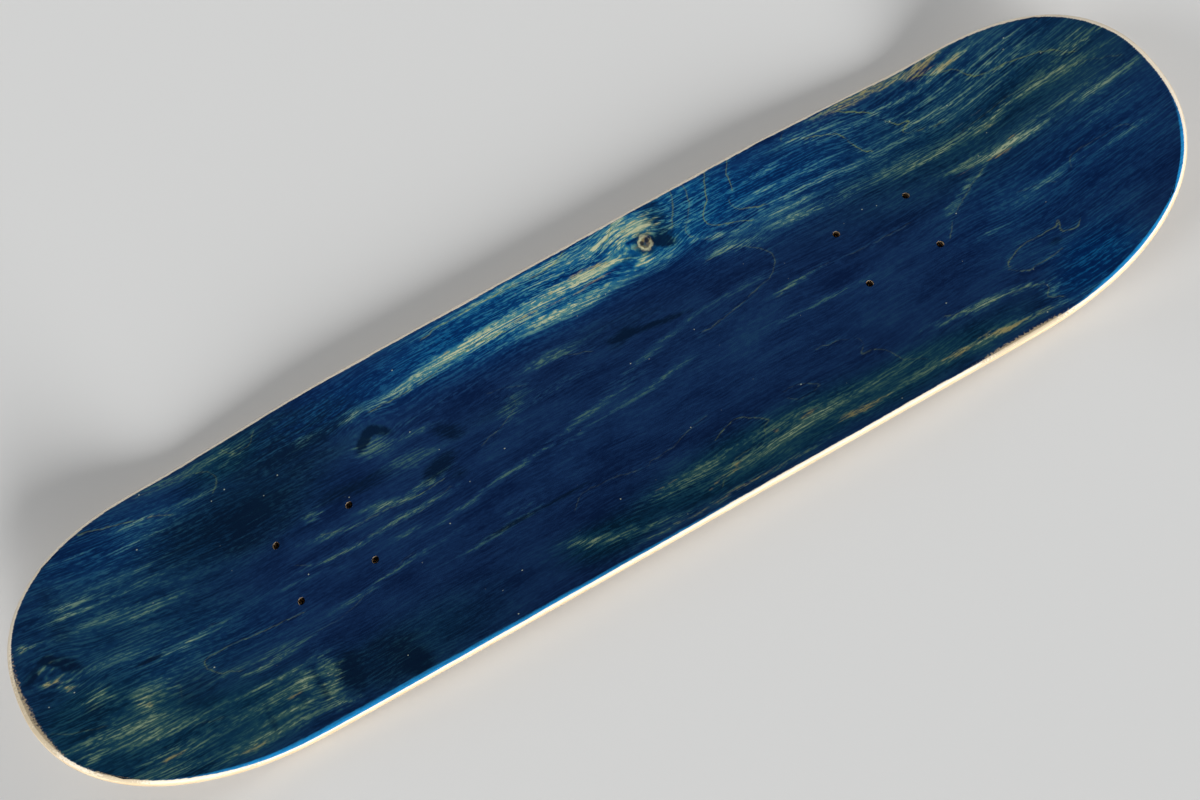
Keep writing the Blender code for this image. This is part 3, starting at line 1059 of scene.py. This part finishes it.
@dataclass(frozen=True)
class StainedFace:
    """Maple stained deep blue, sanded through at the edge, under clear lacquer."""

    knot: tuple[float, float, float]
    knot_size: tuple[float, float] = (0.0050, 0.0058)
    pupil_gap: float = 0.0019
    dull: Stops = (
        (0.00, (0.0026, 0.0105, 0.0430)),
        (0.10, (0.0066, 0.0245, 0.0800)),
        (0.20, (0.0105, 0.0420, 0.0950)),
        (0.35, (0.0360, 0.0920, 0.1000)),
        (0.50, (0.0850, 0.1500, 0.1250)),
        (1.00, (0.4200, 0.4600, 0.3100)),
    )
    green: Stops = (
        (0.00, (0.0014, 0.0120, 0.0290)),
        (0.10, (0.0034, 0.0270, 0.0600)),
        (0.20, (0.0085, 0.0450, 0.0700)),
        (0.35, (0.0340, 0.0860, 0.0820)),
        (0.50, (0.0850, 0.1450, 0.1080)),
        (0.80, (0.2600, 0.3200, 0.2000)),
        (1.00, (0.4200, 0.4400, 0.2800)),
    )
    # the blue of the bright-stain zones, partly painted highlight
    vivid: Stops = (
        (0.00, (0.0006, 0.0140, 0.0680)),
        (0.10, (0.0016, 0.0260, 0.1020)),
        (0.27, (0.0040, 0.0700, 0.1800)),
        (0.46, (0.0290, 0.1480, 0.2150)),
        (0.60, (0.0850, 0.2150, 0.2150)),
        (0.76, (0.1850, 0.2800, 0.2150)),
        (1.00, (0.4200, 0.4400, 0.2800)),
    )
    speck: Colour = (0.4000, 0.4400, 0.3400)
    cream: Colour = (0.4200, 0.4200, 0.2700)
    tan: Colour = (0.3000, 0.2150, 0.0700)
    pooled: Colour = (0.0018, 0.0080, 0.0240)
    edge_blue: Colour = (0.0150, 0.2300, 0.5200)
    raw: Colour = (0.8400, 0.7400, 0.5800)
    scraped: Colour = (0.4600, 0.3600, 0.2200)
    ring_tint: Colour = (0.1300, 0.1800, 0.0700)

    def material(self) -> bpy.types.Material:
        """Builds the finish, from the stain in the wood out to the dust in the lacquer.

        Returns:
            The material.
        """
        grain = StainGrain(Graph.of_material(Slot.STAINED.value))
        colour = self._stained(grain)
        for step in (
            self._warmed, self._ringed, self._pooled, self._knotted, self._sanded, self._dusty
        ):
            colour = step(grain, colour)
        return grain.graph.finish({
            "Base Color": colour,
            "Roughness": 0.34 - grain.streak * 0.07,
            "Specular IOR Level": 0.2,
            "Coat Weight": 0.3,
            "Coat Roughness": 0.08,
            "Coat IOR": 1.4,
            "Normal": grain.graph.bump(grain.fibre * 0.7 + grain.strand * 0.5, 0.00008),
        })

    def _stained(self, grain: StainGrain) -> Socket:
        """The stain: one level of brightness, in dull, green or vivid blue by the wide zones; the
        brighter blue zones carry painted highlight as well as stain.

        Args:
            grain: the numbers that it is mixed from.

        Returns:
            The colour.
        """
        graph, band, cloud = grain.graph, grain.band, grain.cloud
        pale, glow = grain.marks[Mark.PALE], grain.marks[Mark.GLOW]
        olive, ring = grain.marks[Mark.OLIVE], grain.marks[Mark.RING]
        # the bright-stain zones add painted highlight here, as well as stain that took lighter
        unstained_and_highlit = pale * (0.25 + glow * 0.17 + band * 0.5) + glow * (0.10 + band * 0.4)
        beside = 1.0 - (grain.ring_side - 1.8).size().rise(0.4, 2.4)
        level = 0.070 + unstained_and_highlit + olive * (0.03 + cloud * 0.3) + cloud * 0.34 + band * 0.20
        level = level + ring * beside * 0.05
        depth = 0.040 + pale * 0.10 + glow * 0.09 + olive * 0.04 + ring * 0.05
        level = level + grain.streak * depth
        depth = 0.020 + pale * 0.15 + glow * 0.14 + olive * 0.06 + ring * 0.05
        level = level + grain.crisp * depth
        # the vivid blend brightens the zones of painted highlight and lighter stain
        colour = graph.blend(olive * 1.8, graph.ramp(level, self.dull), graph.ramp(level, self.green))
        return graph.blend(glow * 1.3 - olive * 0.6, colour, graph.ramp(level, self.vivid))

    def _warmed(self, grain: StainGrain, under: Socket) -> Socket:
        """Tan wood that took no stain.

        Args:
            grain: the numbers that it is mixed from.
            under: the colour under it.

        Returns:
            The colour with the tan over it.
        """
        warm = grain.marks[Mark.WARM]
        share = (warm + grain.streak * warm * 0.9).rise(0.35, 1.35) * 0.6
        return grain.graph.blend(share, under, self.tan)

    def _ringed(self, grain: StainGrain, under: Socket) -> Socket:
        """Thin, broken growth-ring lines.

        Args:
            grain: the numbers that they are mixed from.
            under: the colour under them.

        Returns:
            The colour with the lines over it.
        """
        graph, ring = grain.graph, grain.marks[Mark.RING]
        broken = graph.noise(grain.place, (60, 60, 1), shift=(0, 2, 0)).rise(0.32, 0.50)
        line = (1.0 - grain.ring_side.size().rise(0.10, 0.65)) * ring.rise(0.15, 1.1) * broken
        # ring lines show stronger in the bright-stain zones, which are partly painted highlight
        strength = 0.10 + ring * 0.35 + grain.marks[Mark.GLOW] * 0.2 + grain.streak * 0.4
        return graph.blend(line * strength, under, self.ring_tint)

    def _pooled(self, grain: StainGrain, under: Socket) -> Socket:
        """Stain gathered dark in open grain.

        Args:
            grain: the numbers that it is mixed from.
            under: the colour under it.

        Returns:
            The colour with the pools over it.
        """
        pool = grain.marks[Mark.POOL] * (0.85 + grain.cloud * 3.2 + grain.band * 1.6)
        share = (pool - grain.streak * pool * 0.5).rise(0.05, 1.0) * 0.9
        return grain.graph.blend(share, under, self.pooled)

    def _knotted(self, grain: StainGrain, under: Socket) -> Socket:
        """The pin knot: a dark core, a pale eye round it and a dark line at its bark.

        Args:
            grain: the numbers that it is mixed from.
            under: the colour under it.

        Returns:
            The colour with the knot over it.
        """
        graph, place = grain.graph, grain.place
        half_length, half_width = self.knot_size
        wobble = graph.swing(place, (260, 260, 1), 3.0)
        away = graph.away(place, self.knot, (1 / half_length, 1 / half_width, 0)) + wobble * 0.9
        shade = 1.0 - (away - 0.9).rise(0.0, 1.1)
        colour = graph.blend(shade * 0.7, under, self.pooled)
        eye = 1.0 - away.rise(0.75, 1.15)
        colour = graph.blend(eye * (0.35 + wobble * 2.0), colour, self.tan)
        ring = 1.0 - (away - 0.84).size().rise(0.04, 0.24)
        colour = graph.blend(ring * (0.55 + grain.streak * 0.4 + wobble * 1.6), colour, self.cream)
        for side in (-1, 1):
            pupil = (self.knot[0] + side * self.pupil_gap, self.knot[1] + 0.6 * self.pupil_gap, 0.0)
            hollow = 1.0 - (graph.away(place, pupil, (1, 0.8, 0)) * 1000.0 + wobble).rise(0.9, 1.9)
            colour = graph.blend(hollow * 0.85, colour, self.pooled)
        return colour

    def _sanded(self, grain: StainGrain, under: Socket) -> Socket:
        """Thin bright stain on the rounding of the edge, and bare wood where the sander cut it.

        Args:
            grain: the numbers that it is mixed from.
            under: the colour under it.

        Returns:
            The colour with the worn edge over it.
        """
        graph, place, streak = grain.graph, grain.place, grain.streak
        rim, near = graph.painted("rim"), graph.painted("edge")
        kept, scraped = grain.marks[Mark.KEPT], grain.marks[Mark.SCRAPED]
        wander = graph.swing(place, (30, 30, 1), 3.0, 0.5, (0, 0.4, 0))
        inside = near - 0.96 + kept * 0.22 + wander * 0.2 + streak * 0.03
        thin = rim.rise(0.0, 0.03) + inside.rise(0.0, 0.22)
        stained = thin.lowest(0.9 + streak * 0.3) * (kept * 1.6 + 0.1).lowest(1.0)
        colour = graph.blend(stained, under, self.edge_blue)
        bare = rim - kept * 0.13 + wander * 0.10 + streak * 0.02 - 0.01
        colour = graph.blend(bare.rise(0.0, 0.04) * rim.rise(0.0, 0.02) * 0.95, colour, self.raw)
        grit = graph.swing(place, (700, 700, 1))
        rubbed = near * (0.5 + scraped * 0.9) + grit + wander * 0.6 + streak * 0.05 - 1.0
        return graph.blend(rubbed.rise(0.0, 0.35) * 0.7, colour, self.scraped)

    def _dusty(self, grain: StainGrain, under: Socket) -> Socket:
        """A few specks of dust caught in the lacquer.

        Args:
            grain: the numbers that they are mixed from.
            under: the colour under them.

        Returns:
            The colour with the specks over it.
        """
        graph = grain.graph
        cells = graph.node(
            "ShaderNodeTexVoronoi",
            {"feature": "F1"},
            {"Vector": graph.stretched(grain.place, (80, 100, 0)), "Scale": 1.0},
        )
        speck = 1.0 - Level(graph, cells.outputs["Distance"]).rise(0.024, 0.052)
        chosen = graph.axis(cells.outputs["Color"], "X").rise(0.3, 0.75)
        return graph.blend(speck * chosen * 0.75, under, self.speck)


@dataclass(frozen=True)
class BareVeneer:
    """Unstained maple, with its grain along the deck or across it."""

    slot: Slot
    along: bool
    light: Colour = (0.820, 0.680, 0.470)
    dark: Colour = (0.640, 0.480, 0.290)
    gloss: float = 0.0
    ring_count: float = 16.0

    def _laid(self, along: float, across: float, through: float) -> tuple[float, float, float]:
        """A scale along, across and through the grain, turned the way that the grain runs."""
        return (along, across, through) if self.along else (across, along, through)

    def material(self) -> bpy.types.Material:
        """Builds the finish.

        Returns:
            The material.
        """
        graph = Graph.of_material(self.slot.value)
        place = graph.place()
        drift = graph.swing(place, (7, 12, 8))
        grain = graph.bent(place, drift * 0.012, self._laid(0, 1, 0))
        fibre = graph.noise(grain, self._laid(36, 900, 2600), 4.0, 0.65)
        band = graph.noise(grain, self._laid(5, 95, 500), 3.0, 0.55)
        rings = (graph.noise(grain, self._laid(2.2, 9, 3)) * self.ring_count).part()
        ring = 1.0 - (rings - 0.5).size().rise(0.02, 0.30)
        tone = fibre * 0.45 + band * 0.55 + (ring - 0.5) * 0.10
        colour = graph.ramp(tone, ((0.32, self.dark), (0.68, self.light)))
        return graph.finish({
            "Base Color": colour,
            "Roughness": 0.62 - self.gloss * 0.25 - fibre * 0.10,
            "Coat Weight": self.gloss,
            "Coat Roughness": 0.15,
            "Normal": graph.bump(fibre, 0.00005),
        })


# Veneers


def vectors(items: bpy.types.bpy_prop_collection, name: str) -> np.ndarray:
    """Reads three numbers from each item of a mesh.

    Args:
        items: the mesh's points, or an attribute's values.
        name: what is read from each.

    Returns:
        One row of three for each item.
    """
    values = np.empty(len(items) * 3, np.float32)
    items.foreach_get(name, values)
    return values.reshape(-1, 3).astype(float)


@dataclass(frozen=True)
class Layer:
    """One veneer of the deck: its piece, the frame's node that it stands for, and its slot."""

    piece: str
    node: str
    slot: Slot


class Deck:
    """The seven veneers, from the riding side down."""

    LAYERS = (
        Layer("top_face_veneer", "top_face_ply", Slot.STAINED),
        Layer("upper_long_veneer", "upper_long_ply", Slot.LONG),
        Layer("upper_cross_veneer", "upper_cross_ply", Slot.CROSS),
        Layer("core_veneer", "core_ply", Slot.LONG),
        Layer("lower_cross_veneer", "lower_cross_ply", Slot.CROSS),
        Layer("lower_long_veneer", "lower_long_ply", Slot.LONG),
        Layer("bottom_face_veneer", "bottom_face_ply", Slot.CLEAR),
    )

    KNOT = (71.5 * MM, 80.0 * MM)
    BACKING_INSET = 1.5 * MM
    ROUNDING_STEPS = 8
    LEAST_STEP = 1e-5
    SMOOTH_ANGLE = math.radians(50)

    def __init__(self, shape: DeckShape) -> None:
        """Mixes the finishes and works out where the frame put the deck.

        Args:
            shape: the mould and the outline.
        """
        self.shape = shape
        self.slide = shape.slide()
        knot = shape.press(*(np.array([value]) for value in (*self.KNOT, 0.0)))[0]
        finishes = {
            Slot.STAINED: StainedFace((float(knot[0]) + self.slide, float(knot[1]), float(knot[2]))),
            Slot.LONG: BareVeneer(Slot.LONG, True),
            Slot.CROSS: BareVeneer(
                Slot.CROSS, False, (0.680, 0.520, 0.330), (0.480, 0.330, 0.180)
            ),
            Slot.CLEAR: BareVeneer(
                Slot.CLEAR, True, (0.760, 0.580, 0.360), (0.560, 0.380, 0.200), 0.5
            ),
        }
        self.materials = {slot: finish.material() for slot, finish in finishes.items()}

    def build(self) -> Iterator[bpy.types.Object]:
        """Makes the veneers, from the riding side down.

        Yields:
            Each finished piece.
        """
        fine = Blank(self.shape, 1.5 * MM, rim_cells=7).build()
        plain = Blank(self.shape, 4.0 * MM, rim_cells=3).build()
        backing = Blank(self.shape, 5.0 * MM, rim_cells=2).build()
        top, *others = self.LAYERS
        yield self._veneer(fine, 0, top, backing)
        for number, layer in enumerate(others, 1):
            yield self._veneer(plain, number, layer)

    def _veneer(
        self,
        blank: bpy.types.Mesh,
        number: int,
        layer: Layer,
        backing: bpy.types.Mesh | None = None,
    ) -> bpy.types.Object:
        """One veneer: the blank thickened, sanded round at its edge and pressed.

        Args:
            blank: the flat sheet that its upper side is cut from.
            number: how many veneers lie over it.
            layer: its names and its slot.
            backing: a coarser sheet for its glued side, or None for the same sheet again.

        Returns:
            The finished piece.
        """
        top = number * (self.shape.veneer + self.shape.glue_line)
        bm = bmesh.new()
        bm.from_mesh(blank)
        if backing:
            self._back(bm, backing)
        else:
            made = bmesh.ops.extrude_face_region(bm, geom=bm.faces[:])["geom"]
            lower = [item for item in made if isinstance(item, bmesh.types.BMVert)]
            bmesh.ops.translate(bm, verts=lower, vec=(0, 0, -self.shape.veneer))
        for level in self._levels(top):
            bmesh.ops.bisect_plane(
                bm,
                geom=bm.verts[:] + bm.edges[:] + bm.faces[:],
                dist=WELD / 10,
                plane_co=(0, 0, -level),
                plane_no=(0, 0, 1),
            )
        bmesh.ops.recalc_face_normals(bm, faces=bm.faces[:])
        mesh = bpy.data.meshes.new(layer.piece)
        bm.to_mesh(mesh)
        bm.free()
        self._press(mesh, top, number == 0)
        mesh.shade_smooth()
        mesh.set_sharp_from_angle(angle=self.SMOOTH_ANGLE)
        piece = bpy.data.objects.new(layer.piece, mesh)
        bpy.context.scene.collection.objects.link(piece)
        mesh.materials.append(self.materials[layer.slot])
        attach(piece, BODY)
        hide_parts(layer.node)
        return piece

    def _back(self, bm: bmesh.types.BMesh, backing: bpy.types.Mesh) -> None:
        """Walls the sheet down to the veneer's glued side and closes that with the coarser sheet.

        Args:
            bm: the finer sheet, which becomes a closed veneer.
            backing: the coarser one.
        """
        rims = [edge for edge in bm.edges if edge.is_boundary]
        made = bmesh.ops.extrude_edge_only(bm, edges=rims)["geom"]
        lower = [item for item in made if isinstance(item, bmesh.types.BMVert)]
        bmesh.ops.translate(bm, verts=lower, vec=(0, 0, -self.shape.veneer))
        before = set(bm.verts)
        bm.from_mesh(backing)
        pull = bm.verts.layers.float_vector["pull"]
        sheet = [vert for vert in bm.verts if vert not in before]
        for vert in sheet:
            vert.co -= Vector((vert[pull].x, vert[pull].y, 0)) * self.BACKING_INSET
            vert.co.z = -self.shape.veneer
            vert[pull] = (0, 0, 0)
        bmesh.ops.remove_doubles(bm, verts=lower + sheet, dist=WELD)
        gap = [edge for edge in bm.edges if edge.is_boundary]
        bmesh.ops.triangle_fill(bm, use_beauty=True, edges=gap, normal=(0, 0, -1))

    def _levels(self, top: float) -> list[float]:
        """Finds where a veneer's edge needs a point to follow the rounding.

        Args:
            top: how deep in the deck the veneer begins.

        Returns:
            Depths in the veneer.
        """
        turns = [math.pi / 2 * step / self.ROUNDING_STEPS for step in range(1, self.ROUNDING_STEPS + 1)]
        depths = [self.shape.edge_rounding * (1 - math.cos(turn)) for turn in turns]
        depths += [self.shape.thickness - depth for depth in depths]
        low, high = self.LEAST_STEP, self.shape.veneer - self.LEAST_STEP
        return [depth - top for depth in depths if low < depth - top < high]

    def _press(self, mesh: bpy.types.Mesh, top: float, painted: bool) -> None:
        """Sands the flat veneer's edge back and presses it.

        Args:
            mesh: the veneer.
            top: how deep in the deck it begins.
            painted: whether it gets its figure first.
        """
        flat = vectors(mesh.vertices, "co")
        pull = vectors(mesh.attributes["pull"].data, "vector")
        depth = top - flat[:, 2]
        inset = self.shape.sanded_back(depth)
        x = flat[:, 0] - pull[:, 0] * inset
        y = flat[:, 1] - pull[:, 1] * inset
        if painted:
            painter = FigurePainter(mesh, x, y)
            painter.paint()
            near = np.hypot(pull[:, 0], pull[:, 1])
            painter.store("edge", near)
            painter.store("rim", np.clip(depth / self.shape.edge_rounding, 0, 1) * (near > 0.99))
        mesh.attributes.remove(mesh.attributes["pull"])
        pressed = self.shape.press(x, y, depth)
        pressed[:, 0] += self.slide
        mesh.vertices.foreach_set("co", pressed.astype(np.float32).ravel())
        mesh.update()


# The studio


@dataclass(frozen=True)
class SoftLight:
    """A broad, far studio light that shines on the whole floor alike."""

    name: str
    come_from: tuple[float, float, float]
    strength: float
    spread: float = 32.0

    def build(self) -> None:
        """Hangs the light."""
        data = bpy.data.lights.new(self.name, "SUN")
        data.energy = self.strength
        data.angle = math.radians(self.spread)
        light = bpy.data.objects.new(self.name, data)
        bpy.context.scene.collection.objects.link(light)
        light.rotation_euler = Vector(self.come_from).to_track_quat("Z", "Y").to_euler()
        light.visible_camera = False
        light.visible_glossy = False


@dataclass(frozen=True)
class Studio:
    """A pale floor, soft lights and a camera nearly overhead."""

    slide: float
    deck_top: float
    camera_place: tuple[float, float, float] = (-0.0421, -0.2341, 0.7432)
    camera_aim: tuple[float, float] = (-0.0077, -0.0004)
    camera_roll: float = 21.15
    lens: float = 35.68
    floor_half: float = 60.0
    floor_gap: float = 0.0002
    floor_paint: Colour = (0.70, 0.70, 0.69)
    sky: Stops = (
        (0.00, (0.72, 0.73, 0.75)),
        (0.30, (0.34, 0.35, 0.37)),
        (0.60, (0.020, 0.022, 0.026)),
        (1.00, (0.006, 0.007, 0.009)),
    )
    lights: tuple[SoftLight, ...] = (
        SoftLight("right_key", (0.10, -1.0, 0.32), 4.9),
        SoftLight("tail_fill", (-1.0, 0.05, 0.47), 1.30),
        SoftLight("nose_fill", (1.0, 0.20, 0.47), 1.10),
        SoftLight("left_fill", (-0.05, 1.0, 0.40), 0.40),
    )

    def build(self) -> None:
        """Sets out the floor, the lights, the surroundings and the camera."""
        self._floor()
        for light in self.lights:
            light.build()
        scene = bpy.context.scene
        scene.world = self._surroundings()
        scene.view_settings.view_transform = "Standard"
        scene.camera = self._camera()

    def _surroundings(self) -> bpy.types.World:
        """Makes a studio that is pale all round and dark overhead, so that the lacquer stays deep.

        Returns:
            The scene's world.
        """
        world = bpy.data.worlds.new("studio_air")
        graph = Graph(world)
        colour = graph.ramp(graph.axis(graph.place(), "Z"), self.sky)
        air = graph.node("ShaderNodeBackground", None, {"Color": colour, "Strength": 1.0})
        graph.node("ShaderNodeOutputWorld", None, {"Surface": air.outputs[0]})
        return world

    def _floor(self) -> None:
        """Lays a plain pale floor under the belly."""
        bm = bmesh.new()
        bmesh.ops.create_grid(bm, x_segments=1, y_segments=1, size=self.floor_half)
        mesh = bpy.data.meshes.new("floor")
        bm.to_mesh(mesh)
        bm.free()
        graph = Graph.of_material("pale_floor")
        paint = {"Base Color": _colour(self.floor_paint), "Roughness": 0.75}
        mesh.materials.append(graph.finish(paint))
        floor = bpy.data.objects.new("floor", mesh)
        bpy.context.scene.collection.objects.link(floor)
        floor.location.z = -self.floor_gap

    def _camera(self) -> bpy.types.Object:
        """Hangs the camera over the deck's right side, rolled so that the nose is at upper right.

        Returns:
            The camera.
        """
        data = bpy.data.cameras.new("camera")
        data.lens = self.lens
        camera = bpy.data.objects.new("camera", data)
        bpy.context.scene.collection.objects.link(camera)
        origin = Vector((self.slide, 0, self.deck_top))
        place = origin + Vector(self.camera_place)
        aim = origin + Vector((*self.camera_aim, 0))
        facing = (aim - place).to_track_quat("-Z", "Y").to_matrix()
        roll = Matrix.Rotation(-math.radians(self.camera_roll), 3, "Z")
        camera.matrix_world = Matrix.Translation(place) @ (facing @ roll).to_4x4()
        return camera


def main() -> None:
    """Builds the deck and the studio."""
    logging.basicConfig(level=logging.INFO, format="%(name)s: %(message)s")
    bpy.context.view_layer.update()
    shape = DeckShape()
    deck = Deck(shape)
    for piece in deck.build():
        log.info("%s has %d faces", piece.name, len(piece.data.polygons))
    Studio(deck.slide, shape.thickness).build()


if __name__ == "__main__":
    main()
